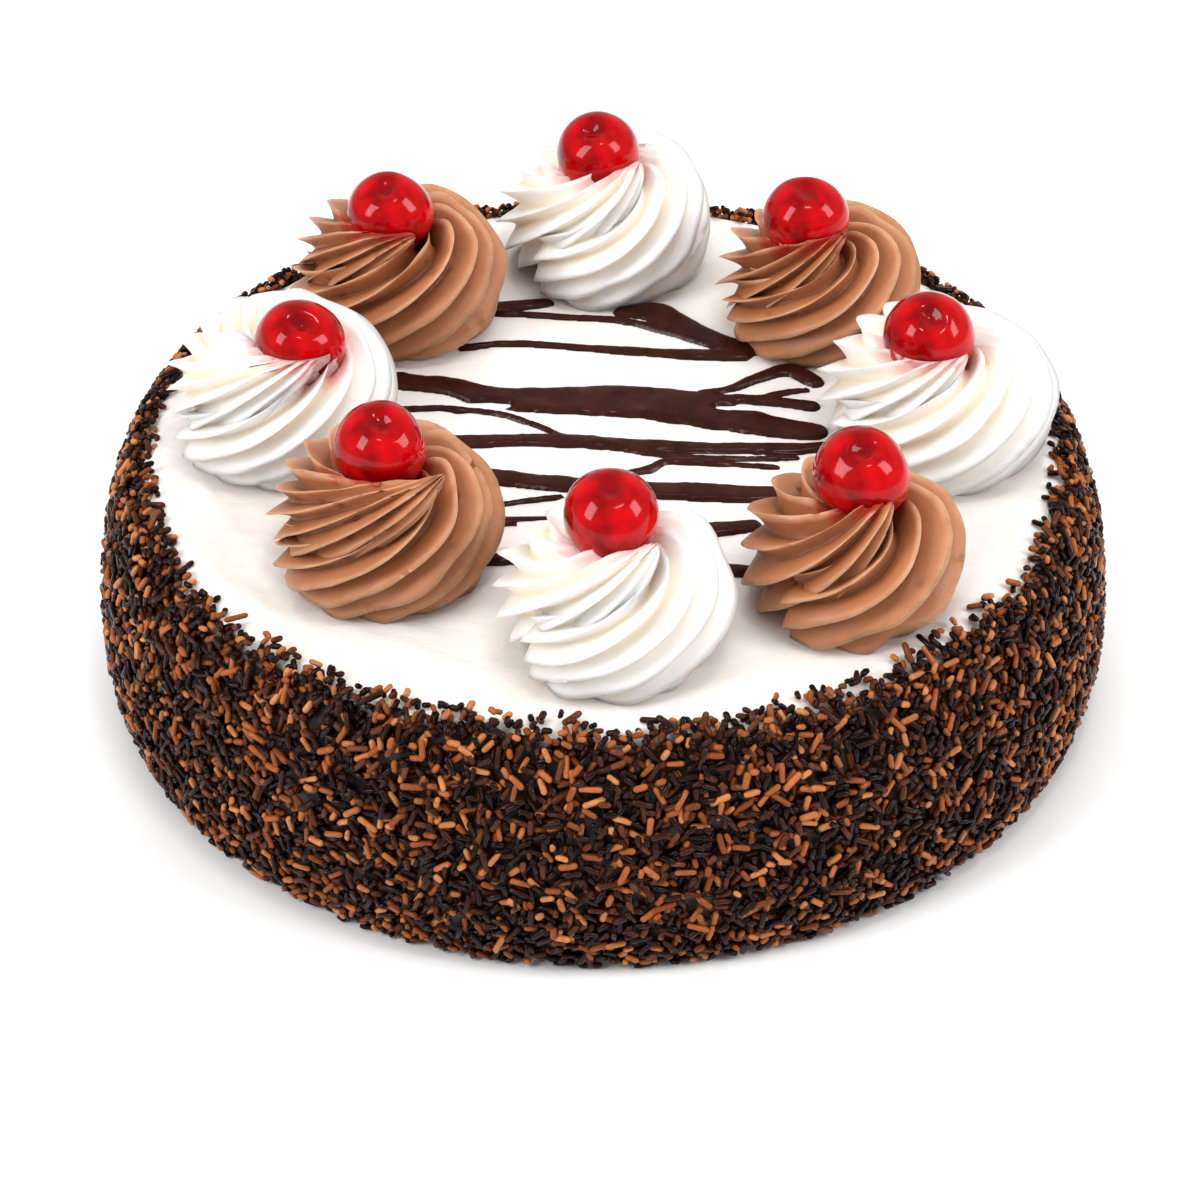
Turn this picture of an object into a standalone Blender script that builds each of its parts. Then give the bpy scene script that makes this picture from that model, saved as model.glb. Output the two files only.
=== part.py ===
"""Black forest cake: a whole iced round cake with a band of chocolate sprinkles round
its side and a ring of piped rosettes on top, each with a glossy cherry.

Units are metres and +Z is up. The origin is the centre of the flat underside.
Seen from above, azimuth 0 is +X and azimuths turn counter-clockwise.
"""
import math
import random

import bpy
import bmesh
from mathutils import Euler, Vector

# Iced drum: a straight-sided foot, then an elliptical shoulder that leans in to a flat top
CAKE_HEIGHT = 0.0505
OUTER_RADIUS = 0.1016          # over the sprinkles, at the widest level
WIDEST_LEVEL = 0.0135          # height of the widest level
FOOT_INSET = 0.0036            # how much narrower the side is at the board
SHOULDER_INSET = 0.0114        # how far the shoulder leans in by the time it meets the top
SEGMENTS = 80
SHOULDER_STEPS = 5

# Sprinkle band
COAT_THICKNESS = 0.0030
COAT_LIP_THICKNESS = 0.0014
COAT_FLOOR_GAP = 0.0006
LIP_LOW, LIP_HIGH = 0.25, 0.85  # the ragged edge wanders between these parts of the last step

# Rosettes, white and chocolate by turns, counter-clockwise from the front. They are piped by
# hand, so each has its own place and size, and its tip and cherry their own place on it.
# All in metres: centre (x, y), radius, tip from the centre (x, y),
# cherry from the centre and above the cake's top (x, y, z), then the cherry's tilt in degrees
TOPPINGS = (
    ((0.0014, -0.0635), 0.0232, (0.0078, -0.0050), (0.0001, 0.0006, 0.0272), 12.0),
    ((0.0455, -0.0495), 0.0221, (0.0064, -0.0062), (0.0013, 0.0002, 0.0267), 22.0),
    ((0.0650, -0.0012), 0.0246, (0.0045, -0.0068), (-0.0024, -0.0020, 0.0262), 30.0),
    ((0.0443, 0.0424), 0.0221, (0.0045, -0.0065), (-0.0030, -0.0014, 0.0257), 16.0),
    ((0.0010, 0.0675), 0.0240, (0.0071, -0.0033), (-0.0016, 0.0002, 0.0258), 20.0),
    ((-0.0420, 0.0462), 0.0233, (0.0044, -0.0098), (-0.0007, -0.0022, 0.0257), 14.0),
    ((-0.0634, 0.0028), 0.0240, (0.0098, -0.0085), (0.0054, -0.0044, 0.0242), 24.0),
    ((-0.0414, -0.0400), 0.0229, (0.0118, -0.0070), (0.0005, 0.0002, 0.0263), 18.0),
)
ROSETTE_HEIGHT = 0.0252
RIDGES = 11
RIDGE_DEPTH = 0.0032
RIDGE_TWIST = 190.0            # degrees that a ridge turns between the cake and the tip
RIDGE_LEVELS = 8
RIDGE_UNEVENNESS = 0.02        # of the radius
CREST_SHARE = 0.42             # where the groove lies between one crest and the next

# Cherries
CHERRY_RADIUS = 0.0091
CHERRY_HEIGHT_RATIO = 0.93
DIMPLE_DEPTH = 0.0022
DIMPLE_WIDTH = 0.33            # of the cherry's radius

GAP = 0.0003                   # air between touching pieces

MATERIALS = {
    "cream": ((0.93, 0.90, 0.86, 1.0), 0.45),
    "chocolate_cream": ((0.42, 0.24, 0.15, 1.0), 0.5),
    "cherry": ((0.62, 0.01, 0.02, 1.0), 0.08),
    "sprinkles": ((0.09, 0.035, 0.025, 1.0), 0.3),
}


def clear_scene():
    for item in list(bpy.data.objects):
        bpy.data.objects.remove(item, do_unlink=True)


def make_material(kind, name):
    colour, roughness = MATERIALS[kind]
    material = bpy.data.materials.new(name)
    material.use_nodes = True
    shader = material.node_tree.nodes["Principled BSDF"]
    shader.inputs["Base Color"].default_value = colour
    shader.inputs["Roughness"].default_value = roughness
    shader.inputs["Metallic"].default_value = 0.0
    return material


def mix(low, high, share):
    return low + (high - low) * share


def ease(share):
    share = min(1.0, max(0.0, share))
    return share * share * (3.0 - 2.0 * share)


def solid_from_rings(name, rings, kind, looped=False, sharp_angle=35.0):
    """One closed body from rings of equally many points, listed from the bottom up.

    A looped solid joins its last ring back to its first. Any other is closed by a flat
    face or, where an end ring is a single point, by a fan of triangles.
    """
    shape = bmesh.new()
    corners = [[shape.verts.new(point) for point in ring] for ring in rings]
    pairs = list(zip(corners, corners[1:]))
    if looped:
        pairs.append((corners[-1], corners[0]))
    for lower, upper in pairs:
        count = max(len(lower), len(upper))
        for i in range(count):
            j = (i + 1) % count
            if len(lower) == 1:
                shape.faces.new((lower[0], upper[j], upper[i]))
            elif len(upper) == 1:
                shape.faces.new((lower[i], lower[j], upper[0]))
            else:
                shape.faces.new((lower[i], lower[j], upper[j], upper[i]))
    if not looped:
        for ring in (corners[0], corners[-1]):
            if len(ring) > 1:
                shape.faces.new(ring)
    bmesh.ops.recalc_face_normals(shape, faces=shape.faces)
    mesh = bpy.data.meshes.new(name)
    shape.to_mesh(mesh)
    shape.free()
    mesh.shade_smooth()
    mesh.set_sharp_from_angle(angle=math.radians(sharp_angle))
    mesh.materials.append(make_material(kind, name + "_finish"))
    item = bpy.data.objects.new(name, mesh)
    bpy.context.scene.collection.objects.link(item)
    return item


def drum_profile():
    """(radius, height) of the cream's side, from the underside up to the flat top."""
    widest = OUTER_RADIUS - COAT_THICKNESS - GAP
    points = [(widest - FOOT_INSET, 0.0), (widest - FOOT_INSET * 0.25, WIDEST_LEVEL * 0.5)]
    for step in range(SHOULDER_STEPS + 1):
        angle = math.radians(90.0) * (step / SHOULDER_STEPS) ** 0.85
        points.append((
            widest - SHOULDER_INSET * (1.0 - math.cos(angle)),
            mix(WIDEST_LEVEL, CAKE_HEIGHT, math.sin(angle)),
        ))
    return points


def outward(profile, index):
    """Unit vector square to the profile at one of its points, pointing out of the drum."""
    before = profile[max(index - 1, 0)]
    after = profile[min(index + 1, len(profile) - 1)]
    along = Vector((after[0] - before[0], after[1] - before[1])).normalized()
    return Vector((along.y, -along.x))


def ring_at(radius, height):
    turns = (math.tau * i / SEGMENTS for i in range(SEGMENTS))
    return [Vector((radius * math.cos(a), radius * math.sin(a), height)) for a in turns]


def make_cake():
    rings = [ring_at(radius, height) for radius, height in drum_profile()]
    return solid_from_rings("cake", rings, "cream")


def ragged_edge():
    """How far up the profile's last step the sprinkles reach, at each azimuth."""
    chance = random.Random(8)
    waves = [(turns, chance.uniform(0.0, math.tau), 1.0 / turns ** 0.4) for turns in (3, 7, 13, 23)]
    most = sum(weight for _, _, weight in waves)
    reach = []
    for i in range(SEGMENTS):
        angle = math.tau * i / SEGMENTS
        wave = sum(w * math.sin(n * angle + phase) for n, phase, w in waves) / most
        share = 0.5 + 0.5 * wave + chance.uniform(-0.15, 0.15)
        reach.append(mix(LIP_LOW, LIP_HIGH, min(1.0, max(0.0, share))))
    return reach


def make_sprinkle_coat():
    """A skin round the drum's side whose upper edge runs raggedly onto the shoulder."""
    profile = drum_profile()
    reach = ragged_edge()
    last = len(profile) - 2
    inner, outer = [], []
    for index in range(last + 1):
        radius, height = profile[index]
        normal = outward(profile, index)
        base = ring_at(radius + normal.x * GAP, max(height + normal.y * GAP, COAT_FLOOR_GAP))
        full = GAP + COAT_THICKNESS * (1.0 if index < last else 0.8)
        skin = ring_at(radius + normal.x * full, max(height + normal.y * full, COAT_FLOOR_GAP))
        inner.append(base)
        outer.append(skin)
    start, end = Vector(profile[last]), Vector(profile[last + 1])
    square = Vector(((end - start).y, -(end - start).x)).normalized()
    inner_lip, outer_lip = [], []
    for i in range(SEGMENTS):
        angle = math.tau * i / SEGMENTS
        place = start.lerp(end, reach[i])
        for ring, offset in ((inner_lip, GAP), (outer_lip, GAP + COAT_LIP_THICKNESS)):
            spot = place + square * offset
            ring.append(Vector((spot.x * math.cos(angle), spot.x * math.sin(angle), spot.y)))
    rings = outer + [outer_lip, inner_lip] + inner[::-1]
    return solid_from_rings("sprinkle_coat", rings, "sprinkles", looped=True)


def rosette_rings(size, tip, seed):
    """A dome of sharp spiral ridges that gather at a tip beside its centre.

    Even columns are crests and odd ones grooves. Going up, each turns counter-clockwise.
    """
    chance = random.Random(seed)
    spin = chance.uniform(0.0, 360.0 / RIDGES)
    reach = [1.0 + chance.uniform(-RIDGE_UNEVENNESS, RIDGE_UNEVENNESS) for _ in range(RIDGES)]
    rings = []
    for level in range(RIDGE_LEVELS):
        share = level / RIDGE_LEVELS
        angle = math.radians(90.0) * share
        radius = size * math.cos(angle) ** 0.75 * (0.90 + 0.10 * ease(share * 5.0))
        height = ROSETTE_HEIGHT * math.sin(angle) ** 0.95
        depth = RIDGE_DEPTH * mix(1.0, 0.12, share ** 3) * min(1.0, radius / size * 1.6)
        centre = Vector(tip) * ease(share * 1.1 - 0.1)
        turn = RIDGE_TWIST * (0.75 * share + 0.25 * share ** 3)
        ring = []
        for ridge in range(RIDGES):
            for column, drop in ((0.0, 0.0), (CREST_SHARE, depth)):
                azimuth = math.radians((ridge + column) * 360.0 / RIDGES + turn + spin)
                out = radius * reach[ridge] - drop * math.cos(angle)
                up = height - drop * 0.8 * math.sin(angle) if level else 0.0
                ring.append(Vector((
                    centre.x + out * math.cos(azimuth),
                    centre.y + out * math.sin(azimuth),
                    up,
                )))
        rings.append(ring)
    rings.append([Vector((*tip, ROSETTE_HEIGHT * 1.01))])
    return rings


def cherry_rings(radius, segments=12, levels=7):
    """A slightly flattened ball with a stalk dimple at its upper pole."""
    rings = [[Vector((0.0, 0.0, -radius * CHERRY_HEIGHT_RATIO))]]
    for level in range(1, levels):
        polar = math.pi * (1.0 - level / levels)
        out = radius * math.sin(polar)
        up = radius * CHERRY_HEIGHT_RATIO * math.cos(polar)
        up -= DIMPLE_DEPTH * math.exp(-(out / (radius * DIMPLE_WIDTH)) ** 2) * (up > 0.0)
        rings.append([Vector((out * math.cos(a), out * math.sin(a), up))
                      for a in (math.tau * i / segments for i in range(segments))])
    rings.append([Vector((0.0, 0.0, radius * CHERRY_HEIGHT_RATIO - DIMPLE_DEPTH))])
    return rings


def cut_seat(rosette, place, name):
    """Hollow the rosette where its cherry sits."""
    bpy.ops.mesh.primitive_uv_sphere_add(segments=14, ring_count=9, location=place,
                                         radius=(CHERRY_RADIUS + GAP) * 1.035)
    cutter = bpy.context.object
    cutter.name = name
    cutter.hide_render = True
    cutter.display_type = "WIRE"
    seat = rosette.modifiers.new("seat", "BOOLEAN")
    seat.operation = "DIFFERENCE"
    seat.solver = "EXACT"
    seat.object = cutter


def make_topping(index, centre, size, tip, cherry_place, tilt):
    chocolate = index % 2 == 1
    name = f"rosette_{'chocolate' if chocolate else 'white'}_{index + 1}"
    kind = "chocolate_cream" if chocolate else "cream"
    rosette = solid_from_rings(name, rosette_rings(size, tip, index), kind)
    rosette.location = Vector((*centre, CAKE_HEIGHT + GAP))
    cherry = solid_from_rings(f"cherry_{index + 1}", cherry_rings(CHERRY_RADIUS), "cherry",
                              sharp_angle=80.0)
    cherry.location = Vector((*centre, CAKE_HEIGHT)) + Vector(cherry_place)
    cherry.rotation_euler = Euler((math.radians(tilt), 0.0, 0.0))
    cut_seat(rosette, cherry.location, f"seat_{index + 1}")


def main():
    clear_scene()
    make_cake()
    make_sprinkle_coat()
    for index, topping in enumerate(TOPPINGS):
        make_topping(index, *topping)


main()
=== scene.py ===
"""The looks of the black forest cake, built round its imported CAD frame.

Every piece takes its place and size from the frame's nodes. Shapes are worked out in
millimetres and turned into metres when their mesh is made. Azimuth 0 is +X, 90 is +Y.
"""

import math

import bmesh
import bpy
import numpy as np
from mathutils import Matrix, Vector


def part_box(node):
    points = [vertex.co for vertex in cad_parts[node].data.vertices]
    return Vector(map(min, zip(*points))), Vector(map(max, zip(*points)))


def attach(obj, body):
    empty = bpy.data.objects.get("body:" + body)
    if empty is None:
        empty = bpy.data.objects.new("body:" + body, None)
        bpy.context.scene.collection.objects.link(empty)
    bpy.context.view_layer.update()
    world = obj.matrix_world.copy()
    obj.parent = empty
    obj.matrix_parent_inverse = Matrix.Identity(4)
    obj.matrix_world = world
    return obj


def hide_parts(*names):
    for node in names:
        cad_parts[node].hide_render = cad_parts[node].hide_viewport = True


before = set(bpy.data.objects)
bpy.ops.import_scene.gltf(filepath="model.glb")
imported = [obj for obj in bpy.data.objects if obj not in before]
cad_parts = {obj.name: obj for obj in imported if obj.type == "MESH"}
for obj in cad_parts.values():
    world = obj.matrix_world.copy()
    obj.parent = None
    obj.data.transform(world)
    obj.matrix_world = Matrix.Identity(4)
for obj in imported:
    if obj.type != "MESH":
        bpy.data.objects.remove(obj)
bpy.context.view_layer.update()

MM = 0.001
ROSETTE_KINDS = ["chocolate" if index % 2 else "white" for index in range(8)]
ROSETTE_NODES = [f"rosette_{kind}_{index + 1}" for index, kind in enumerate(ROSETTE_KINDS)]
CHERRY_NODES = [f"cherry_{index + 1}" for index in range(8)]

# ---------------------------------------------------------------- sizes, in millimetres


def node_box(name):
    low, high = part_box(name)
    return np.array(low) / MM, np.array(high) / MM


DRUM_LOW, DRUM_HIGH = node_box("cake")
COAT_LOW, COAT_HIGH = node_box("sprinkle_coat")
CAKE_HEIGHT = DRUM_HIGH[2]
DRUM_RADIUS = (DRUM_HIGH[0] - DRUM_LOW[0]) / 2.0
COAT_RADIUS = (COAT_HIGH[0] - COAT_LOW[0]) / 2.0
WIDEST_LEVEL = 13.5
FOOT_INSET = 3.6
SHOULDER_INSET = 11.4
TOP_RADIUS = DRUM_RADIUS - SHOULDER_INSET

# ---------------------------------------------------------------- small tools


def ease(share):
    share = np.clip(share, 0.0, 1.0)
    return share * share * (3.0 - 2.0 * share)


def mix(low, high, share):
    return low + (high - low) * share


def noise(points, scale, seed=0):
    """Smooth noise from -1 to 1, with features about scale across."""
    spots = np.asarray(points, dtype=float) / scale + 31.7 * seed + 500.0
    cell = np.floor(spots).astype(np.int64)
    part = spots - cell
    part = part * part * (3.0 - 2.0 * part)
    total = np.zeros(len(spots))
    for corner in np.ndindex(2, 2, 2):
        at = cell + np.array(corner)
        code = at[:, 0] * 374761393 + at[:, 1] * 668265263 + at[:, 2] * 1442695041 + seed * 97
        code = ((code ^ (code >> 13)) * 1274126177) & 0x7FFFFFFF
        code = (code ^ (code >> 16)) & 0xFFFF
        weight = np.prod(np.where(corner, part, 1.0 - part), axis=1)
        total += weight * (code / 32767.5 - 1.0)
    return total


def new_object(name, mesh, material):
    item = bpy.data.objects.new(name, mesh)
    bpy.context.scene.collection.objects.link(item)
    mesh.materials.clear()
    mesh.materials.append(material)
    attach(item, "root")
    return item


def mesh_from(name, points, faces):
    """A smooth-shaded mesh from points in millimetres and an array of equal-sided faces."""
    points = np.asarray(points, dtype=np.float32) * MM
    faces = np.asarray(faces, dtype=np.int32)
    sides = faces.shape[1]
    mesh = bpy.data.meshes.new(name)
    mesh.vertices.add(len(points))
    mesh.vertices.foreach_set("co", points.ravel())
    mesh.loops.add(faces.size)
    mesh.loops.foreach_set("vertex_index", faces.ravel())
    mesh.polygons.add(len(faces))
    mesh.polygons.foreach_set("loop_start", np.arange(len(faces), dtype=np.int32) * sides)
    mesh.update(calc_edges=True)
    mesh.validate()
    mesh.shade_smooth()
    return mesh


def set_attribute(mesh, name, values):
    layer = mesh.attributes.new(name, "FLOAT", "POINT")
    layer.data.foreach_set("value", np.asarray(values, dtype=np.float32))


def grid_faces(rows, columns, wrap=True):
    """Quads of a grid of points stored row by row, each row closed on itself if wrap."""
    across = columns if wrap else columns - 1
    i = np.arange(rows - 1)[:, None] * columns
    j = np.arange(across)[None, :]
    k = (j + 1) % columns
    return np.stack([i + j, i + k, i + columns + k, i + columns + j], axis=-1).reshape(-1, 4)


# ---------------------------------------------------------------- materials


class Nodes:
    """A short way to write a node tree."""

    def __init__(self, name):
        self.material = bpy.data.materials.new(name)
        self.material.use_nodes = True
        self.tree = self.material.node_tree
        self.shader = self.tree.nodes["Principled BSDF"]

    def add(self, kind, links=None, **settings):
        node = self.tree.nodes.new(kind)
        for key, value in settings.items():
            setattr(node, key, value)
        for socket, value in (links or {}).items():
            if isinstance(value, bpy.types.NodeSocket):
                self.tree.links.new(value, node.inputs[socket])
            else:
                node.inputs[socket].default_value = value
        return node

    def set(self, **values):
        for key, value in values.items():
            socket = self.shader.inputs[key.replace("_", " ")]
            if isinstance(value, bpy.types.NodeSocket):
                self.tree.links.new(value, socket)
            else:
                socket.default_value = value

    def place(self):
        return self.add("ShaderNodeTexCoord").outputs["Object"]

    def attribute(self, name):
        return self.add("ShaderNodeAttribute", attribute_name=name).outputs["Fac"]

    def noise(self, scale, detail=3.0, roughness=0.55, vector=None):
        links = {"Vector": vector or self.place(), "Scale": scale, "Detail": detail, "Roughness": roughness}
        return self.add("ShaderNodeTexNoise", links).outputs["Fac"]

    def ramp(self, value, *stops):
        node = self.add("ShaderNodeValToRGB", {"Fac": value})
        elements = node.color_ramp.elements
        while len(elements) < len(stops):
            elements.new(0.5)
        for element, (position, colour) in zip(elements, stops):
            element.position = position
            element.color = (*colour, 1.0) if len(colour) == 3 else colour
        return node.outputs["Color"]

    def blend(self, share, first, second, how="MIX"):
        node = self.add("ShaderNodeMix", data_type="RGBA", blend_type=how)
        for socket, value in zip((node.inputs[0], node.inputs[6], node.inputs[7]), (share, first, second)):
            if isinstance(value, bpy.types.NodeSocket):
                self.tree.links.new(value, socket)
            else:
                socket.default_value = (*value, 1.0) if isinstance(value, tuple) else value
        return node.outputs[2]

    def span(self, value, low, high, to_low=0.0, to_high=1.0):
        links = {"Value": value, "From Min": low, "From Max": high, "To Min": to_low, "To Max": to_high}
        return self.add("ShaderNodeMapRange", links).outputs["Result"]

    def bump(self, height, strength, distance, after=None):
        links = {"Height": height, "Strength": strength, "Distance": distance}
        if after:
            links["Normal"] = after
        return self.add("ShaderNodeBump", links).outputs["Normal"]


def white_cream(name):
    """Whipped cream: near white, with painted shade making it faintly yellow and darker in its folds, pink where
    cherry juice ran.
    """
    n = Nodes(name)
    crest = n.attribute("crest")
    # painted shade: the grooves, where crest is low, are coloured darker and yellower than the crests
    body = n.ramp(crest, (0.0, (0.87, 0.77, 0.61)), (0.22, (0.885, 0.84, 0.78)), (0.7, (0.885, 0.865, 0.84)))
    mottle = n.span(n.noise(260.0), 0.35, 0.65)
    body = n.blend(n.span(mottle, 0.0, 1.0, 0.0, 0.2), body, (0.87, 0.83, 0.77))
    body = n.blend(n.attribute("butter"), body, (0.88, 0.68, 0.26))
    colour = n.blend(n.attribute("stain"), body, (0.78, 0.05, 0.05))
    fine = n.bump(n.noise(1500.0, 4.0), 0.18, 0.0004)
    normal = n.bump(n.noise(420.0, 3.0), 0.22, 0.0008, fine)
    n.set(Base_Color=colour, Normal=normal)
    n.set(Roughness=n.span(n.attribute("stain"), 0.0, 0.8, 0.46, 0.16))
    n.set(Subsurface_Weight=0.35, Subsurface_Scale=0.004, IOR=1.42)
    n.shader.inputs["Subsurface Radius"].default_value = (1.0, 0.75, 0.5)
    return n.material


def chocolate_cream(name):
    """Chocolate buttercream: soft brown, with painted shade darkening its grooves and a painted highlight paling
    its crests, with pin holes.
    """
    n = Nodes(name)
    crest = n.attribute("crest")
    # painted shade in the grooves, near black, and a painted highlight on the crest lips, pale brown
    body = n.ramp(crest, (0.0, (0.15, 0.042, 0.014)), (0.14, (0.33, 0.118, 0.048)), (0.60, (0.44, 0.175, 0.077)),
                  (0.80, (0.50, 0.21, 0.10)), (1.0, (0.74, 0.41, 0.23)))
    mottle = n.span(n.noise(330.0, 4.0), 0.35, 0.65)
    body = n.blend(n.span(mottle, 0.0, 1.0, 0.0, 0.35), body, (0.37, 0.138, 0.058))
    colour = n.blend(n.attribute("stain"), body, (0.36, 0.012, 0.01))
    fine = n.bump(n.noise(1700.0, 5.0), 0.22, 0.0003)
    normal = n.bump(n.noise(500.0, 3.0), 0.2, 0.0007, fine)
    n.set(Base_Color=colour, Normal=normal, IOR=1.45)
    n.set(Roughness=n.span(n.attribute("stain"), 0.0, 0.8, 0.42, 0.14))
    n.set(Subsurface_Weight=0.08, Subsurface_Scale=0.002)
    n.shader.inputs["Subsurface Radius"].default_value = (1.0, 0.5, 0.3)
    return n.material


def iced_surface(name):
    """The cream coat: white with painted shade, a faint warm darker cast, in its dips and along smears."""
    n = Nodes(name)
    broad = n.span(n.noise(38.0, 3.0), 0.3, 0.7)
    body = n.blend(broad, (0.85, 0.80, 0.76), (0.885, 0.86, 0.835))
    relief = n.attribute("relief")
    # painted shade: the lower the spread cream lies, the warmer and darker it is coloured
    body = n.blend(n.span(relief, -1.0, 0.3, 0.45, 0.0), body, (0.88, 0.78, 0.66))
    stretched = n.add("ShaderNodeMapping", {"Vector": n.place(), "Scale": (1.0, 1.8, 1.0), "Rotation": (0, 0, 0.5)})
    smears = n.noise(75.0, 4.0, 0.6, stretched.outputs["Vector"])
    normal = n.bump(n.noise(1300.0, 4.0), 0.12, 0.0004, n.bump(smears, 0.5, 0.0016))
    # painted shade: the side under the sprinkles is coloured near black, so gaps between strands read as shadow
    sprinkle_gap_shade = n.attribute("sprinkle_gap_shade")
    body = n.blend(sprinkle_gap_shade, body, (0.020, 0.009, 0.007))
    n.set(Base_Color=body, Normal=normal, Roughness=0.42, IOR=1.42)
    n.set(Subsurface_Weight=n.span(sprinkle_gap_shade, 0.0, 1.0, 0.3, 0.0), Subsurface_Scale=0.004)
    n.shader.inputs["Subsurface Radius"].default_value = (1.0, 0.75, 0.5)
    return n.material


def glazed_cherry(name):
    """Glace cherry: deep clear red flesh, brighter where light gets in, under a wet glaze."""
    n = Nodes(name)
    cloud = n.span(n.noise(170.0, 2.0), 0.3, 0.7)
    flesh = n.ramp(cloud, (0.0, (0.18, 0.0, 0.001)), (0.5, (0.42, 0.0003, 0.002)), (1.0, (0.60, 0.001, 0.004)))
    # painted shade: the flesh is coloured darker in the dimple
    flesh = n.blend(n.span(n.attribute("hollow"), 0.0, 1.0, 0.0, 0.6), flesh, (0.14, 0.0, 0.002))
    normal = n.bump(n.noise(150.0, 2.0), 0.06, 0.0012)
    n.set(Base_Color=flesh, Normal=normal, Roughness=0.15, Specular_IOR_Level=0.05)
    n.set(Coat_Weight=0.9, Coat_Roughness=0.01, Coat_IOR=1.3)
    n.set(Subsurface_Weight=0.25, Subsurface_Scale=0.004)
    n.shader.inputs["Subsurface Radius"].default_value = (1.0, 0.04, 0.04)
    return n.material


def chocolate_sauce(name):
    """Set chocolate sauce: almost black, with a soft gloss."""
    n = Nodes(name)
    cloud = n.span(n.noise(220.0, 3.0), 0.3, 0.7)
    body = n.blend(cloud, (0.022, 0.005, 0.003), (0.045, 0.011, 0.007))
    normal = n.bump(n.noise(420.0, 2.0), 0.12, 0.0006)
    n.set(Base_Color=body, Normal=normal, Roughness=0.2, Specular_IOR_Level=0.16)
    return n.material


def sprinkle_finish(name, dark, middle, light):
    """Polished strands, each a little paler or darker than the next."""
    n = Nodes(name)
    body = n.ramp(n.attribute("tone"), (0.0, dark), (0.55, middle), (1.0, light))
    body = n.blend(n.span(n.noise(900.0, 3.0), 0.35, 0.7, 0.0, 0.35), body, tuple(0.55 * c for c in dark))
    normal = n.bump(n.noise(1400.0, 3.0), 0.3, 0.0003)
    n.set(Base_Color=body, Normal=normal, Roughness=0.2, Specular_IOR_Level=0.16)
    return n.material


# ---------------------------------------------------------------- the iced drum


def drum_side(share):
    """Radius and height of the drum's side: share 0 at the underside, 1 at the flat top."""
    share = np.asarray(share, dtype=float)
    foot = 0.22
    low = np.clip(share / foot, 0.0, 1.0)
    angle = np.radians(90.0) * np.clip((share - foot) / (1.0 - foot), 0.0, 1.0) ** 0.95
    radius = DRUM_RADIUS - FOOT_INSET * (1.0 - low) ** 2 - SHOULDER_INSET * (1.0 - np.cos(angle))
    height = WIDEST_LEVEL * low + (CAKE_HEIGHT - WIDEST_LEVEL) * np.sin(angle)
    return radius, height


def side_normal(share):
    """The side's outward slope at each share, as (outward, upward) parts."""
    step = 0.004
    r0, z0 = drum_side(np.clip(share - step, 0.0, 1.0))
    r1, z1 = drum_side(np.clip(share + step, 0.0, 1.0))
    out, up = z1 - z0, r0 - r1
    size = np.hypot(out, up)
    return out / size, up / size


def cream_relief(x, y):
    """How far the spread cream stands above or below the drum's top, at places on it."""
    x, y = np.asarray(x, dtype=float), np.asarray(y, dtype=float)
    reach = np.hypot(x, y)
    turn = np.arctan2(y, x)
    swept = np.stack([reach, 22.0 * np.cos(turn), 22.0 * np.sin(turn)], axis=-1)
    flat = np.stack([x, y, 0.0 * x], axis=-1)
    stroke = noise(swept, 7.0, 1) + 0.5 * noise(swept, 3.2, 2)
    lumps = noise(flat, 17.0, 3)
    grain = noise(flat, 2.4, 4)
    rim = ease((reach - 0.55 * TOP_RADIUS) / (0.45 * TOP_RADIUS))
    return (0.20 + 0.42 * rim) * stroke + 0.32 * lumps + (0.05 + 0.08 * rim) * grain - 0.55


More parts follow.
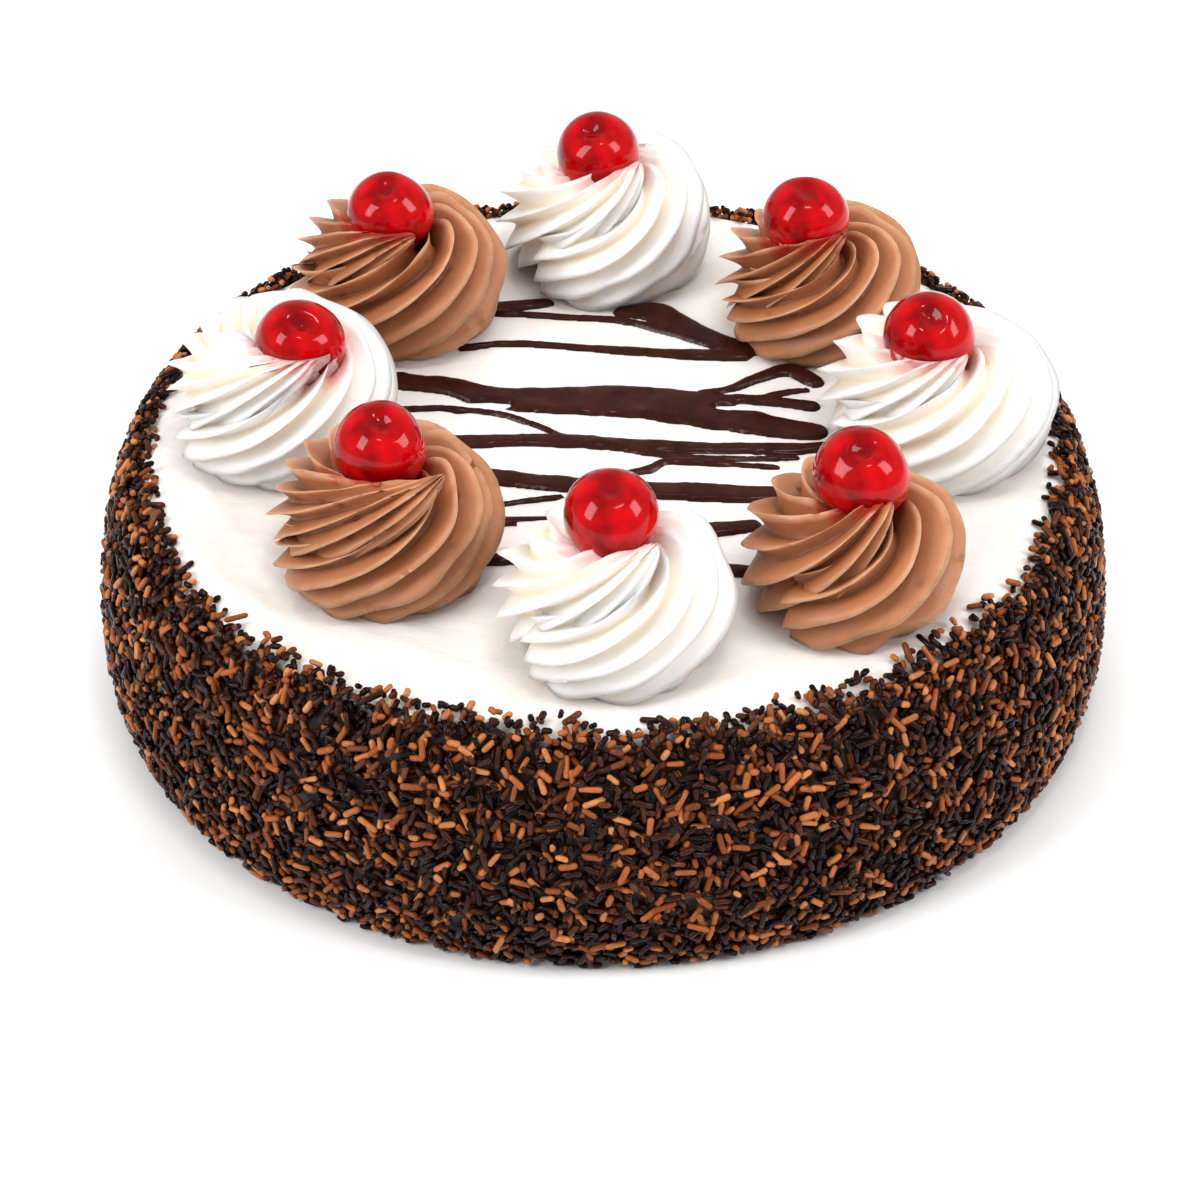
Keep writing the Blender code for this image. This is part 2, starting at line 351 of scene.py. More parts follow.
def make_drum():
    """A disc of nearly square cells for the top, with the side hanging from its rim."""
    cells = 168
    side_rows = 20
    span = np.linspace(-1.0, 1.0, cells + 1)
    a, b = np.meshgrid(span, span, indexing="ij")
    x = a * np.sqrt(1.0 - 0.5 * b * b)
    y = b * np.sqrt(1.0 - 0.5 * a * a)
    top = np.stack([x * TOP_RADIUS, y * TOP_RADIUS, np.full_like(x, CAKE_HEIGHT)], axis=-1).reshape(-1, 3)
    top[:, 2] += cream_relief(top[:, 0], top[:, 1])
    faces = grid_faces(cells + 1, cells + 1, wrap=False)
    index = np.arange((cells + 1) ** 2).reshape(cells + 1, cells + 1)
    rim = np.concatenate([index[:-1, 0], index[-1, :-1], index[:0:-1, -1], index[0, :0:-1]])
    turn = np.arctan2(top[rim, 1], top[rim, 0])
    shares = 1.0 - (np.arange(1, side_rows + 1) / side_rows) ** 1.35
    rows = []
    for share in shares:
        radius, height = drum_side(share)
        out, up = side_normal(share)
        ring = np.stack([radius * np.cos(turn), radius * np.sin(turn), np.full_like(turn, height)], axis=-1)
        lift = 0.5 * noise(ring, 8.0, 6) + cream_relief(ring[:, 0], ring[:, 1]) * ease((share - 0.5) / 0.5) - 0.1
        ring += lift[:, None] * np.stack([out * np.cos(turn), out * np.sin(turn), np.full_like(turn, up)], axis=-1)
        ring[:, 2] = np.maximum(ring[:, 2], 0.0) if share > 0.0 else 0.0
        rows.append(ring)
    points = np.concatenate([top] + rows)
    count = len(rim)
    ids = np.concatenate([rim[None, :], len(top) + np.arange(side_rows * count).reshape(side_rows, count)])
    quads = []
    for upper, lower in zip(ids, ids[1:]):
        quads.append(np.stack([upper, np.roll(upper, -1), np.roll(lower, -1), lower], axis=-1))
    faces = np.concatenate([faces] + quads)
    mesh = mesh_from("cream_drum", points, faces)
    shape = bmesh.new()
    shape.from_mesh(mesh)
    shape.verts.ensure_lookup_table()
    shape.faces.new([shape.verts[i] for i in ids[-1]])
    bmesh.ops.recalc_face_normals(shape, faces=shape.faces)
    shape.to_mesh(mesh)
    shape.free()
    mesh.shade_smooth()
    relief = np.zeros(len(points))
    relief[:len(top)] = cream_relief(top[:, 0], top[:, 1]) + 0.55
    set_attribute(mesh, "relief", relief)
    # painted shade mask: 1 on the side below the sprinkles' ragged reach, fading out above it
    sprinkle_gap_shade = [np.zeros(len(top))]
    sprinkle_gap_shade += [ease((ragged_reach(turn) - 0.02 - share) / 0.03) for share in shares]
    set_attribute(mesh, "sprinkle_gap_shade", np.concatenate(sprinkle_gap_shade))
    drum = new_object("cream_drum", mesh, iced_surface("iced_cream"))
    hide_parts("cake")
    return drum


# ---------------------------------------------------------------- sprinkles

SPRINKLE_RADIUS = 0.64
# Name: share of them all, then the colours of the darkest, the usual and the palest strand
SPRINKLE_KINDS = {
    "sprinkles_black": (0.30, (0.006, 0.0015, 0.001), (0.012, 0.003, 0.002), (0.026, 0.007, 0.004)),
    "sprinkles_dark": (0.26, (0.012, 0.003, 0.002), (0.026, 0.007, 0.004), (0.055, 0.015, 0.008)),
    "sprinkles_brown": (0.16, (0.045, 0.011, 0.004), (0.10, 0.026, 0.009), (0.18, 0.050, 0.018)),
    "sprinkles_caramel": (0.28, (0.20, 0.045, 0.010), (0.42, 0.115, 0.028), (0.66, 0.25, 0.085)),
}
SPRINKLE_LAYER = COAT_RADIUS - DRUM_RADIUS - 0.12
PRESSED_IN = 0.35


def ragged_reach(turn):
    """How far up the side the sprinkles run, as a share of it, at each azimuth."""
    wave = (0.5 * np.sin(3 * turn + 1.0) + 0.45 * np.sin(7 * turn + 2.3) + 0.4 * np.sin(13 * turn + 0.4)
            + 0.35 * np.sin(29 * turn + 4.0) + 0.3 * np.sin(47 * turn + 1.9))
    behind = ease((np.sin(turn) - 0.3) / 0.4)
    return 0.852 - 0.015 * behind + 0.028 * wave


def settle_sprinkles():
    """Drops strands one by one on the unrolled side and lets each rest on those before it.

    Returns the ends of each strand as (azimuth, share up the side, height off the cream).
    """
    chance = np.random.default_rng(11)
    cell = 0.3
    around = math.tau * DRUM_RADIUS
    shares = np.linspace(0.0, 1.0, 400)
    radii, heights = drum_side(shares)
    lengths = np.concatenate([[0.0], np.cumsum(np.hypot(np.diff(radii), np.diff(heights)))])
    columns, rows = int(around / cell), int(lengths[-1] / cell) + 2
    pile = np.full((columns, rows), -PRESSED_IN)
    strands = []
    wanted, tries = 14000, 36000
    widths = np.array([-0.8, 0.0, 0.8]) * SPRINKLE_RADIUS
    for attempt in range(tries):
        if len(strands) >= wanted:
            break
        turn = chance.uniform(0.0, math.tau)
        reach = np.interp(ragged_reach(turn), shares, lengths)
        stray = chance.random() < 0.035
        up = reach + chance.exponential(1.6) if stray else reach * (1.0 - chance.random() ** 1.05)
        short = chance.random() < (0.85 if stray or up > reach - 3.5 else 0.22)
        length = chance.uniform(1.35, 1.9) if short else chance.uniform(2.1, 4.0)
        lean = chance.uniform(0.0, math.pi)
        half = length / 2.0 - SPRINKLE_RADIUS * 0.6
        if up < half * abs(math.sin(lean)) + 0.8 or up > lengths[-1] - 0.6:
            continue
        count = max(3, int(length / (cell * 1.6)))
        along = np.linspace(-half, half, count)
        scale = 1.0 + 0.10 * (up / lengths[-1]) ** 2
        cos, sin = math.cos(lean), math.sin(lean)
        s = turn * DRUM_RADIUS + (along[:, None] * cos - widths[None, :] * sin) * scale
        u = up + along[:, None] * sin + widths[None, :] * cos
        i = (s / cell).astype(int) % columns
        j = np.clip((u / cell).astype(int), 0, rows - 1)
        under = pile[i, j].max(axis=1)
        near = max(1, count // 3)
        start, end = under[:near].max(), under[-near:].max()
        tilt_limit = 0.55 * half
        end = min(max(end, start - tilt_limit), start + tilt_limit)
        start = min(max(start, end - tilt_limit), end + tilt_limit)
        line = np.linspace(start, end, count)
        lift = max(0.0, (under - line).max()) * 0.75
        line = line + lift
        if line.max() + 2.0 * SPRINKLE_RADIUS > SPRINKLE_LAYER:
            continue
        crown = (1.0 + np.sqrt(1.0 - (widths / SPRINKLE_RADIUS) ** 2)) * SPRINKLE_RADIUS
        np.maximum.at(pile, (i, j), line[:, None] + crown[None, :])
        centre = line[[0, -1]] + SPRINKLE_RADIUS
        ends = [(turn + along[k] * cos * scale / DRUM_RADIUS, up + along[k] * sin, c)
                for k, c in zip((0, -1), centre)]
        strands.append((ends, length))
    ends = np.array([strand[0] for strand in strands])
    share = np.interp(ends[:, :, 1], lengths, shares)
    return np.stack([ends[:, :, 0], share, ends[:, :, 2]], axis=-1), chance


def strand_points(ends, radius, chance):
    """Capsules between pairs of points: rings of five with rounded ends."""
    sides = 5
    profile = ((-1.0, 0.0), (-0.74, 0.68), (-0.1, 1.0), (0.1, 1.0), (0.74, 0.68), (1.0, 0.0))
    axis = ends[:, 1] - ends[:, 0]
    size = np.linalg.norm(axis, axis=1, keepdims=True)
    axis = axis / size
    side = np.cross(axis, np.array([0.31, 0.47, 0.83]))
    side /= np.linalg.norm(side, axis=1, keepdims=True)
    other = np.cross(axis, side)
    bend = chance.normal(0.0, 0.14, (len(ends), 1))
    spin = np.arange(sides) * math.tau / sides
    points = []
    for along, out in profile:
        base = ends[:, 0] if along < 0 else ends[:, 1]
        centre = base + axis * (along - math.copysign(0.1, along)) * radius[:, None]
        if abs(along) > 0.5:
            centre = centre + side * bend * radius[:, None]
        if out == 0.0:
            points.append(centre[:, None, :])
            continue
        ring = (np.cos(spin)[None, :, None] * side[:, None, :] + np.sin(spin)[None, :, None] * other[:, None, :])
        points.append(centre[:, None, :] + ring * (out * radius)[:, None, None])
    points = np.concatenate(points, axis=1)
    faces = []
    last = points.shape[1] - 1
    for k in range(sides):
        n = (k + 1) % sides
        faces.append((0, 1 + n, 1 + k))
        for ring in range(3):
            low, high = 1 + ring * sides, 1 + (ring + 1) * sides
            faces.append((low + k, low + n, high + n))
            faces.append((low + k, high + n, high + k))
        faces.append((last, last - sides + k, last - sides + n))
    return points, np.array(faces)


def make_sprinkles():
    spots, chance = settle_sprinkles()
    turn, share, height = spots[:, :, 0], spots[:, :, 1], spots[:, :, 2]
    radius, level = drum_side(share)
    out, up = side_normal(share)
    reach = radius + out * height
    ends = np.stack([reach * np.cos(turn), reach * np.sin(turn), level + up * height], axis=-1)
    ends[:, :, 2] = np.maximum(ends[:, :, 2], SPRINKLE_RADIUS + 0.05)
    thick = SPRINKLE_RADIUS * chance.uniform(0.84, 1.06, len(ends))
    tone = chance.random(len(ends))
    kind = chance.choice(len(SPRINKLE_KINDS), size=len(ends), p=[row[0] for row in SPRINKLE_KINDS.values()])
    for number, (name, (_, dark, middle, light)) in enumerate(SPRINKLE_KINDS.items()):
        chosen = kind == number
        points, faces = strand_points(ends[chosen], thick[chosen], chance)
        per = points.shape[1]
        offsets = np.arange(len(points))[:, None, None] * per
        mesh = mesh_from(name, points.reshape(-1, 3), (faces[None] + offsets).reshape(-1, 3))
        set_attribute(mesh, "tone", np.repeat(tone[chosen], per))
        item = new_object(name, mesh, sprinkle_finish(name + "_finish", dark, middle, light))
        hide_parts("sprinkle_coat")
        print(name, "strands", int(chosen.sum()), "triangles", len(mesh.polygons))


# ---------------------------------------------------------------- rosettes

ROPE_SAMPLES = 12              # points across one ridge
ROPE_STEPS = 116
ROSETTE_RISE = 24.9
CHERRY_RADIUS = 9.1

# By rosette: place of the pulled-off tip from the centre (x, y), turns of the rope, share
# of the rope that tapers, depth of its grooves as a share of its radius, number of ridges
ROPES = (
    ((7.8, -5.0), 1.30, 0.34, 0.37, 11),
    ((6.4, -6.2), 1.24, 0.24, 0.41, 9),
    ((4.5, -6.8), 1.28, 0.30, 0.35, 11),
    ((4.5, -6.5), 1.30, 0.28, 0.39, 11),
    ((7.1, -3.3), 1.30, 0.32, 0.35, 11),
    ((4.4, -9.8), 1.32, 0.36, 0.40, 11),
    ((9.8, -8.5), 1.30, 0.34, 0.36, 12),
    ((11.8, -7.0), 1.36, 0.38, 0.39, 12),
)


def rope_points(size, tip, turns, taper, groove, ridges, seed):
    """A star-shaped rope laid counter-clockwise in a spiral and pulled off at its tip.

    The nozzle doesn't turn as it goes round, so each ridge keeps facing its own way and
    climbs from the rope's foot over its outer side to its top in half a turn. Returns the
    points and how far each lies out on a crest, from 0 to 1.
    """
    chance = np.random.default_rng(seed)
    share = np.linspace(0.0, 1.0, ROPE_STEPS)
    end = math.atan2(tip[1], tip[0])
    turn = end - math.tau * turns * (1.0 - share)
    ending = np.clip((share - (1.0 - taper)) / taper, 0.0, 1.0)
    grown = mix(0.74, 1.0, ease(share / 0.25))
    thick = size * 0.52 * grown * (1.0 - ending ** 1.8 * 0.955)
    path = mix(size * (1.0 - 0.52 * grown), math.hypot(*tip), ease(ending))
    level = mix(thick * 0.96, ROSETTE_RISE - 0.3, ease(ending) ** 0.9)
    wobble = noise(np.stack([share * 9.0, share * 0, share * 0 + seed], axis=-1), 1.0, seed)
    level = level + 0.5 * wobble * (1.0 - ending)
    columns = ridges * ROPE_SAMPLES
    column = np.arange(columns)
    phase = (column % ROPE_SAMPLES) / ROPE_SAMPLES
    tooth = column // ROPE_SAMPLES
    depth = groove * (1.0 + chance.uniform(-0.18, 0.18, ridges))[tooth]
    sag = np.sin(math.pi * phase ** 1.08) ** 0.80
    spot = np.stack(np.broadcast_arrays(share[:, None] * 22.0, tooth[None, :] * 3.1, float(seed)), axis=-1)
    worn = noise(spot.reshape(-1, 3), 1.0, seed + 40).reshape(ROPE_STEPS, columns)
    crest = (1.0 - sag[None, :]) * (1.0 + 0.26 * worn)
    radial = thick[:, None] * (1.0 - depth[None, :] + depth[None, :] * crest)
    lean = 0.26 * (math.tau / ridges) * (1.0 - sag)
    angle = column * math.tau / columns - lean + turn[:, None] + chance.uniform(0.0, 1.0)
    across = np.cos(angle)
    squat = np.clip(-np.sin(angle), 0.0, 1.0) * (1.0 - ending)[:, None]
    across = np.sign(across) * np.abs(across) ** (1.0 - 0.55 * squat)
    out = path[:, None] + radial * across
    up = level[:, None] + radial * np.sin(angle) * 1.06
    points = np.stack([out * np.cos(turn)[:, None], out * np.sin(turn)[:, None], up], axis=-1)
    return points, np.broadcast_to(1.0 - sag, (ROPE_STEPS, columns))


def rope_mesh(size, tip, turns, taper, groove, ridges, seed):
    """The rope, with a core that fills its middle, and how far each point lies on a crest."""
    points, crest = rope_points(size, tip, turns, taper, groove, ridges, seed)
    rows, columns = crest.shape
    flat = points.reshape(-1, 3)
    flat[:, 2] = np.maximum(flat[:, 2], -0.7)
    faces = grid_faces(rows, columns)[:, ::-1]
    first, last = len(flat), len(flat) + 1
    around = np.arange(columns)
    ahead = (around + 1) % columns
    behind = (rows - 1) * columns
    caps = [np.stack([around, ahead, np.full(columns, first)], axis=-1),
            np.stack([behind + ahead, behind + around, np.full(columns, last)], axis=-1)]
    triangles = np.concatenate([faces[:, [0, 1, 2]], faces[:, [0, 2, 3]]] + caps)
    flat = np.concatenate([flat, [points[0].mean(axis=0), points[-1].mean(axis=0)]])
    polar = np.linspace(0.0, math.pi, 15)
    spin = np.arange(28) * math.tau / 28
    core = np.stack([np.outer(np.sin(polar), np.cos(spin)) * size * 0.45,
                     np.outer(np.sin(polar), np.sin(spin)) * size * 0.45,
                     np.outer(np.cos(polar), np.ones(28)) * 9.5 + 8.9], axis=-1).reshape(-1, 3)
    quads = grid_faces(15, 28)[:, ::-1] + len(flat)
    triangles = np.concatenate([triangles, quads[:, [0, 1, 2]], quads[:, [0, 2, 3]]])
    measure = np.concatenate([crest.ravel(), [0.3, 0.6], np.full(len(core), 0.15)])
    return mesh_from("rope", np.concatenate([flat, core]), triangles), measure


def mesh_points(mesh):
    points = np.empty(len(mesh.vertices) * 3, dtype=np.float32)
    mesh.vertices.foreach_get("co", points)
    return points.reshape(-1, 3).astype(float) / MM


def mesh_normals(mesh):
    normals = np.empty(len(mesh.vertices) * 3, dtype=np.float32)
    mesh.vertex_normals.foreach_get("vector", normals)
    return normals.reshape(-1, 3).astype(float)


def make_rosette(index, node, kind, materials):
    low, high = node_box(node)
    cherry_low, cherry_high = node_box(CHERRY_NODES[index])
    centre = np.array([(low[0] + high[0]) / 2.0, (low[1] + high[1]) / 2.0, CAKE_HEIGHT])
    size = (high[0] - low[0] + high[1] - low[1]) / 4.0
    cherry = (cherry_low + cherry_high) / 2.0 - centre
    mesh, crest = rope_mesh(size, *ROPES[index], index + 3)
    points, normals = mesh_points(mesh), mesh_normals(mesh)
    points += normals * (0.22 * noise(points, 5.0, index) + 0.07 * noise(points, 1.8, index + 20))[:, None]
    chance = np.random.default_rng(index + 60)
    pits = 60 if kind == "chocolate" else 22
    for spot in points[chance.integers(0, len(points), pits)]:
        wide = chance.uniform(0.35, 0.75)
        away = np.linalg.norm(points - spot, axis=1)
        points -= normals * (0.8 * wide * np.exp(-(away / wide) ** 2))[:, None]
        # painted shade: each pit also lowers crest, so the cream is coloured darker inside it
        crest -= 0.35 * np.exp(-(away / wide) ** 2)
    offset = points - cherry
    away = np.linalg.norm(offset, axis=1)
    seat = CHERRY_RADIUS - 0.45
    inside = away < seat
    points[inside] = cherry + offset[inside] / away[inside, None] * seat
    points[:, 2] = np.minimum(points[:, 2], high[2] - CAKE_HEIGHT - 0.1)
    ooze = away + 1.1 * noise(points, 2.6, index + 9) + 0.5 * noise(points, 1.0, index + 12)
    stain = 1.0 - ease((ooze - CHERRY_RADIUS - 0.1) / (2.2 if kind == "chocolate" else 3.0))
    mesh.vertices.foreach_set("co", (points * MM).astype(np.float32).ravel())
    mesh.update()
    mesh.shade_smooth()
    set_attribute(mesh, "crest", np.clip(crest, 0.0, 1.0))
    butter = ease((4.5 - points[:, 2]) / 4.0) * ease(noise(points, 6.0, index + 50) * 2.4 + 0.2) * (1.0 - crest)
    set_attribute(mesh, "butter", butter)
    set_attribute(mesh, "stain", np.clip(stain, 0.0, 1.0) * (0.8 if kind == "chocolate" else 0.42))
    item = new_object("piped_" + node, mesh, materials[kind])
    item.location = Vector(centre) * MM
    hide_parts(node)
    print(item.name, "triangles", sum(len(p.vertices) - 2 for p in mesh.polygons))


def make_rosettes():
    materials = {"white": white_cream("piped_cream"), "chocolate": chocolate_cream("piped_chocolate")}
    for index, (node, kind) in enumerate(zip(ROSETTE_NODES, ROSETTE_KINDS)):
        make_rosette(index, node, kind, materials)


# ---------------------------------------------------------------- cherries

CHERRY_TILTS = (12.0, 22.0, 30.0, 16.0, 20.0, 14.0, 24.0, 18.0)
DIMPLE_DEPTH = 2.0
DIMPLE_WIDTH = 3.0


def make_cherry(index, node, material):
    """A plump ball, a little flat, dimpled where its stalk and stone came out."""
    low, high = node_box(node)
    around, levels = 56, 40
    polar = np.linspace(0.0, math.pi, levels + 1)[1:-1]
    turn = np.arange(around) * math.tau / around
    p, t = np.meshgrid(polar, turn, indexing="ij")
    chance = np.random.default_rng(index + 200)
    swell = 1.0 + chance.uniform(0.01, 0.035) * np.sin(t * 2 + chance.uniform(0, 6)) * np.sin(p) ** 2
    swell += chance.uniform(0.005, 0.02) * np.sin(t * 3 + chance.uniform(0, 6)) * np.sin(p) ** 2
    radius = CHERRY_RADIUS * 0.98 * swell
    x, y = radius * np.sin(p) * np.cos(t), radius * np.sin(p) * np.sin(t)
    z = CHERRY_RADIUS * (0.92 + 0.03 * np.cos(p)) * np.cos(p)
    off = chance.uniform(-0.9, 0.9, 2)
    lean = chance.uniform(0.0, math.pi)
    across = (x - off[0]) * math.cos(lean) + (y - off[1]) * math.sin(lean)
    along = (y - off[1]) * math.cos(lean) - (x - off[0]) * math.sin(lean)
    hollow = np.exp(-((across / DIMPLE_WIDTH) ** 2 + (along / (DIMPLE_WIDTH * 0.72)) ** 2)) * (z > 0)
    z = z - DIMPLE_DEPTH * hollow
    points = np.stack([x, y, z], axis=-1).reshape(-1, 3)
    top = np.array([[0.0, 0.0, CHERRY_RADIUS * 0.95 - DIMPLE_DEPTH * hollow[0].mean()]])
    bottom = np.array([[0.0, 0.0, -CHERRY_RADIUS * 0.89]])
    rings = grid_faces(len(polar), around)
    triangles = np.concatenate([rings[:, [0, 2, 1]], rings[:, [0, 3, 2]]])
    count = len(points)
    k = np.arange(around)
    n = (k + 1) % around
    caps = [np.stack([np.full(around, count), k, n], axis=-1),
            np.stack([np.full(around, count + 1), count - around + n, count - around + k], axis=-1)]
    triangles = np.concatenate([triangles] + caps)
    points = np.concatenate([points, top, bottom])
    points += 0.20 * np.stack([noise(points, 6.5, index + k) for k in (70, 80, 90)], axis=-1)
    depth = np.concatenate([hollow.ravel(), hollow[0, :1], [0.0]])
    tilt, spin = math.radians(CHERRY_TILTS[index]), math.radians(chance.uniform(-25, 25))
    points = points @ np.array(Matrix.Rotation(tilt, 3, "X") @ Matrix.Rotation(spin, 3, "Z")).T
    least, most = points.min(axis=0), points.max(axis=0)
    points = (points - (least + most) / 2.0) * min(1.0, ((high - low - 0.1) / (most - least)).min())
    mesh = mesh_from("glazed_" + node, points, triangles)
    set_attribute(mesh, "hollow", depth)
    item = new_object("glazed_" + node, mesh, material)
    item.location = Vector((low + high) / 2.0) * MM
    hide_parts(node)


def make_cherries():
    material = glazed_cherry("cherry_glaze")
    for index, node in enumerate(CHERRY_NODES):
        make_cherry(index, node, material)


# ---------------------------------------------------------------- chocolate sauce

# Strokes across the middle, each a run of (x, y, width) in millimetres from the cake's centre
STROKES = (
    ((-22.5, 48.5, 3.6), (-11.5, 50.5, 3.2)),
    ((-22.5, 46.5, 2.2), (-8, 45, 2.0), (4, 43.2, 2.0), (14, 39, 2.0), (25, 32.5, 2.4)),
    ((4, 46.5, 3.0), (11, 46, 6.4), (17, 41, 5.6), (24, 35.2, 5.0), (31, 31.5, 3.2)),
    ((-28.4, 33.3, 2.0), (-18.3, 34.5, 2.0), (0, 33, 2.2), (12, 31.4, 3.0), (22, 30.4, 3.8), (29, 29.8, 3.4)),
    ((-41, 21.6, 5.8), (-31, 19, 6.0), (-21, 15.3, 7.0), (-9, 13.9, 8.8), (4, 13.4, 10.2), (17, 11, 11.0),
     (26, 7.8, 8.8), (34, 4.3, 6.4), (42, 2.5, 5.2)),
    ((20, 16, 2.0), (26, 18, 2.0), (32, 22, 3.2), (38, 24, 4.2), (43, 20, 3.6)),
    ((20, 14.3, 3.0), (30, 13.9, 2.8), (42, 11.4, 3.2)),
    ((31, 14, 1.3), (36, 16, 1.5), (41, 17, 1.3)),
    ((-41, 11.2, 1.5), (-28, 11, 1.6), (-19, 8.8, 1.5), (-12, 4.9, 1.5), (-8, 1.6, 1.8)),
    ((-31, -0.4, 4.2), (-19, 0.1, 4.0), (-8, 0.2, 4.2), (4, -1.4, 4.0), (20, -2.6, 3.5),
     (36, -3.1, 3.6), (44, -2.7, 3.2)),
    ((5, -2.7, 1.7), (11, -4.9, 1.5), (22, -6.3, 1.6), (38, -6.2, 1.3)),
    ((4, -12, 1.5), (9, -9.8, 2.2), (13, -7.2, 2.0), (22, -7.9, 1.5), (34, -9.3, 1.2)),
    ((-26, -10.2, 4.1), (-20, -12, 4.5), (-8, -15, 4.8), (4, -16.6, 5.2), (18, -17.6, 5.6),
     (31, -18.5, 5.2), (38, -18.5, 4.3)),
    ((-23.5, -22.2, 1.2), (-15.7, -20.4, 1.3), (-8, -19.3, 1.2)),
    ((-24.5, -27.3, 2.9), (-10, -26.8, 2.6), (6, -28.3, 2.9), (19.6, -30, 4.2), (28.4, -29, 3.6)),
    ((-27, -40.3, 3.1), (-15.5, -39.4, 3.3), (6, -41.7, 2.9), (21.4, -43.2, 4.0), (28, -43.6, 3.1)),
)
GAPS = (((-26.5, 13.1, 1.5), (-18.8, 12.3, 1.7)), ((23.3, 11.3, 1.5), (30, 10.7, 2.1), (37, 8.7, 1.6)))
SAUCE_HEIGHT = 1.15
SAUCE_EDGE = 1.3
SAUCE_STEP = 0.55


def smooth_run(points, step=0.4):
    """Points and widths along a smooth curve through a stroke's own points."""
    points = np.array(points, dtype=float)
    padded = np.concatenate([[2 * points[0] - points[1]], points, [2 * points[-1] - points[-2]]])
    run = []
    for k in range(1, len(padded) - 2):
        a, b, c, d = padded[k - 1:k + 3]
        count = max(2, int(np.hypot(*(c - b)[:2]) / step))
        t = np.arange(count)[:, None] / count
        run.append(0.5 * (2 * b + (c - a) * t + (2 * a - 5 * b + 4 * c - d) * t ** 2
                          + (3 * b - a - 3 * c + d) * t ** 3))
    run.append(points[-1:])
    return np.concatenate(run)


def stroke_distance(spots, stroke):
    """Distance from each spot to the stroke's edge, negative inside it."""
    run = smooth_run(stroke)
    best = np.full(len(spots), 1e9)
    for x, y, width in run:
        best = np.minimum(best, np.hypot(spots[:, 0] - x, spots[:, 1] - y) - width / 2.0)
    return best


def make_sauce():
    """A raised film over the strokes, whose rim dips below the cream so its edge is clean."""
    x = np.arange(-46.0, 47.0, SAUCE_STEP)
    y = np.arange(-47.0, 53.0, SAUCE_STEP)
    gx, gy = np.meshgrid(x, y, indexing="ij")
    spots = np.stack([gx.ravel(), gy.ravel()], axis=-1)
    edge = np.full(len(spots), 1e9)
    soft = 0.7
    for stroke in STROKES:
        other = stroke_distance(spots, stroke)
        blend = np.maximum(soft - np.abs(edge - other), 0.0) / soft
        edge = np.minimum(edge, other) - blend * blend * soft * 0.25
    for gap in GAPS:
        edge = np.maximum(edge, -stroke_distance(spots, gap))
    place = np.concatenate([spots, np.zeros((len(spots), 1))], axis=1)
    edge += 0.22 * noise(place, 3.0, 31) + 0.14 * noise(place, 1.1, 32)
    inner = np.clip(-edge / SAUCE_EDGE, 0.0, 1.0)
    dome = np.sqrt(1.0 - (1.0 - inner) ** 2)
    raised = SAUCE_HEIGHT * dome * (0.9 + 0.12 * noise(place, 6.0, 33))
    lift = np.where(edge < 0.0, raised, -np.minimum(edge, 0.8) * 0.9)
    base = CAKE_HEIGHT + cream_relief(spots[:, 0], spots[:, 1])
    upper = np.concatenate([spots, (base + lift)[:, None]], axis=1)
    lower = np.concatenate([spots, (base - 1.2)[:, None]], axis=1)
    quads = grid_faces(len(x), len(y), wrap=False)
    quads = quads[(edge[quads] < 0.35).any(axis=1)]
    used, packed = np.unique(quads, return_inverse=True)
    packed = packed.reshape(-1, 4)
    count = len(used)
    sides = np.concatenate([packed[:, [a, b]] for a, b in ((0, 1), (1, 2), (2, 3), (3, 0))])
    lookup = set(map(tuple, sides.tolist()))
    rim = np.array([(b, a) for a, b in sides.tolist() if (b, a) not in lookup])
    walls = np.stack([rim[:, 0], rim[:, 1], rim[:, 1] + count, rim[:, 0] + count], axis=-1)
    faces = np.concatenate([packed, packed[:, ::-1] + count, walls])
    mesh = mesh_from("sauce", np.concatenate([upper[used], lower[used]]), faces)
    item = new_object("sauce_drizzle", mesh, chocolate_sauce("sauce_finish"))
    print("sauce triangles", 2 * len(mesh.polygons))
    return item


# ---------------------------------------------------------------- camera, floor and light

VIEW_ELEVATION = math.radians(38.08)
VIEW_DISTANCE = 7.0 * COAT_RADIUS * MM
VIEW_LENS = 103.66
VIEW_ROLL = math.radians(0.30)
AIM_UP = math.radians(0.673)
AIM_LEFT = math.radians(0.058)


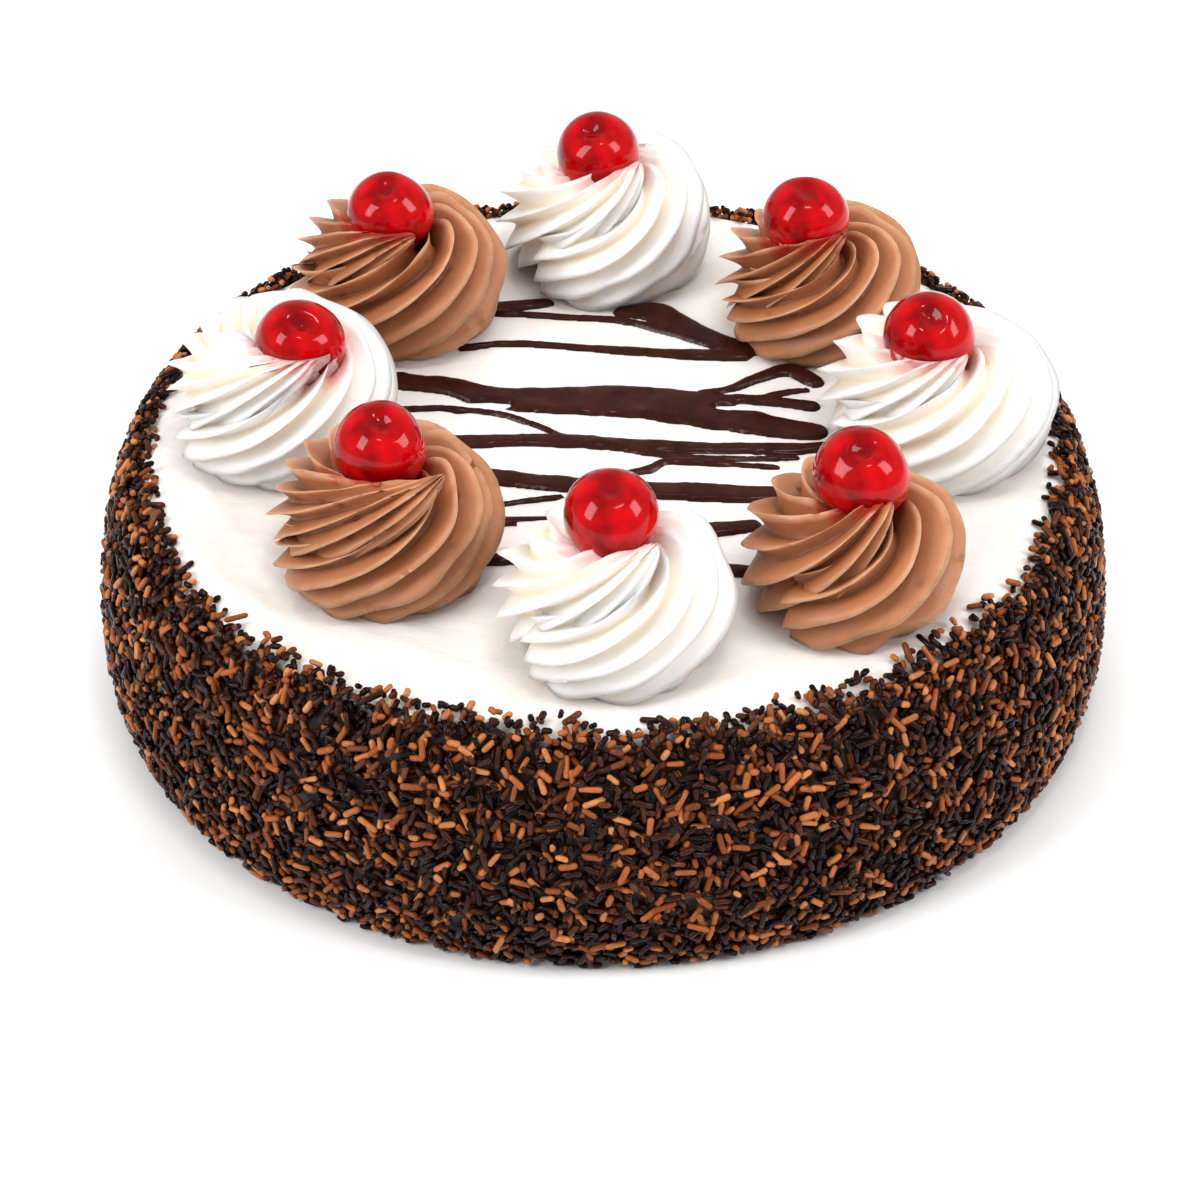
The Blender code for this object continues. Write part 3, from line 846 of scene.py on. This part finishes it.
def make_camera():
    back = Vector((0.0, -math.cos(VIEW_ELEVATION), math.sin(VIEW_ELEVATION)))
    right = Vector((1.0, 0.0, 0.0))
    up = back.cross(right)
    cos, sin = math.cos(VIEW_ROLL), math.sin(VIEW_ROLL)
    right, up = right * cos - up * sin, up * cos + right * sin
    forward = (-back + up * math.tan(AIM_UP) - right * math.tan(AIM_LEFT)).normalized()
    side = forward.cross(up).normalized()
    above = side.cross(forward)
    lens = bpy.data.cameras.new("camera")
    lens.lens = VIEW_LENS
    lens.sensor_width = 36.0
    lens.clip_start = 0.05
    camera = bpy.data.objects.new("camera", lens)
    turn = Matrix((side, above, -forward)).transposed()
    camera.matrix_world = Matrix.Translation(back * VIEW_DISTANCE) @ turn.to_4x4()
    bpy.context.scene.collection.objects.link(camera)
    bpy.context.scene.camera = camera


def make_floor():
    shape = bmesh.new()
    bmesh.ops.create_grid(shape, x_segments=1, y_segments=1, size=3.0)
    mesh = bpy.data.meshes.new("floor")
    shape.to_mesh(mesh)
    shape.free()
    floor = bpy.data.objects.new("floor", mesh)
    floor.location.z = -0.0002
    bpy.context.scene.collection.objects.link(floor)
    n = Nodes("floor_finish")
    n.set(Base_Color=(0.93, 0.93, 0.93, 1.0), Roughness=0.7)
    mesh.materials.append(n.material)


# Name: centre in metres, width and height in metres, watts, whether it shows in reflections
LIGHTS = {
    "left_box": ((-0.80, -0.50, 0.75), 0.40, 0.80, 8.5, True),
    "right_box": ((0.85, -0.30, 0.70), 0.36, 0.66, 6.0, True),
    "back_fill": ((0.0, 0.95, 0.85), 1.0, 0.5, 5.5, False),
    "top_fill": ((0.0, -0.1, 1.3), 0.9, 0.9, 6.5, False),
    "top_glint": ((0.12, -0.25, 1.1), 0.16, 0.10, 1.2, True),
}


def make_lights():
    for name, (place, width, height, watts, shines) in LIGHTS.items():
        lamp = bpy.data.lights.new(name, "AREA")
        lamp.shape = "RECTANGLE"
        lamp.size = width
        lamp.size_y = height
        lamp.energy = watts
        item = bpy.data.objects.new(name, lamp)
        item.location = place
        item.visible_glossy = shines
        item.rotation_euler = (Vector((0.0, 0.0, 0.04)) - Vector(place)).to_track_quat("-Z", "Y").to_euler()
        bpy.context.scene.collection.objects.link(item)
    world = bpy.data.worlds.new("studio")
    world.use_nodes = True
    sky = world.node_tree.nodes["Background"]
    sky.inputs["Color"].default_value = (1.0, 1.0, 1.0, 1.0)
    sky.inputs["Strength"].default_value = 0.40
    bpy.context.scene.world = world
    bpy.context.scene.view_settings.view_transform = "Standard"
    bpy.context.scene.view_settings.look = "None"


make_camera()
make_floor()
make_lights()
make_drum()
make_sauce()
make_rosettes()
make_cherries()
make_sprinkles()
